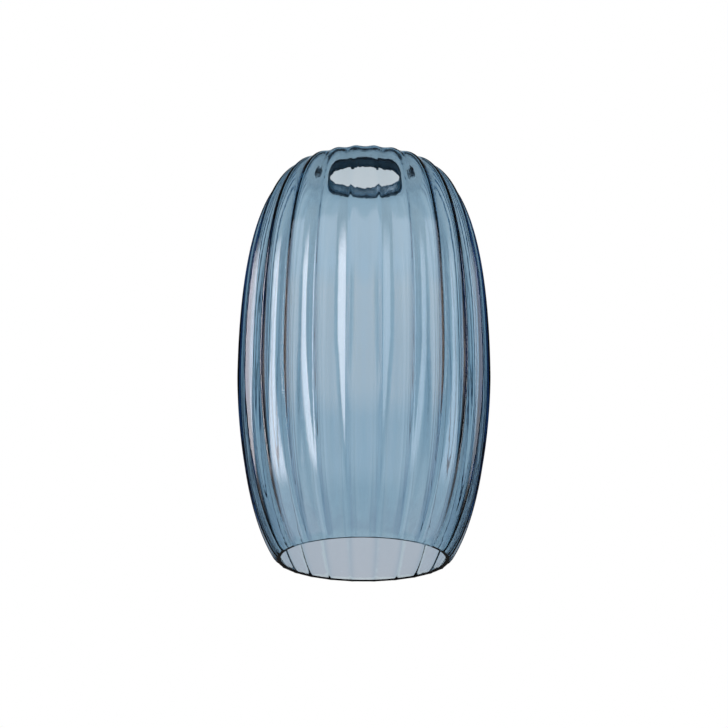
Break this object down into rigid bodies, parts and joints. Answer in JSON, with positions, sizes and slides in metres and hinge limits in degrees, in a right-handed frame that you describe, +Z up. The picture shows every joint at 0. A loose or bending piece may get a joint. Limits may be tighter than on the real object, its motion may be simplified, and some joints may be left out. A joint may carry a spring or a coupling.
{
  "type": "pendant lampshade",
  "caption": "Barrel-shaped ribbed glass lampshade for a hanging lamp, open at its mouth, with a round fitter hole through its flat top.",
  "frame": {"origin": "centre of the mouth rim, on the plane that the rim stands on", "axes": "+Z up the shade's axis, from the mouth to the fitter hole; a flute faces +X, -X, +Y and -Y, with the nearest ridges half a pitch to either side"},
  "size_m": [0.1404, 0.1404, 0.23],
  "materials": {
    "smoke_blue_glass": "clear gloss, smoke-blue tint, with a ground frosted wall in the fitter hole"
  },
  "bodies": {
    "root": {"glass_shade": "smoke_blue_glass"}
  },
  "joints": []
}
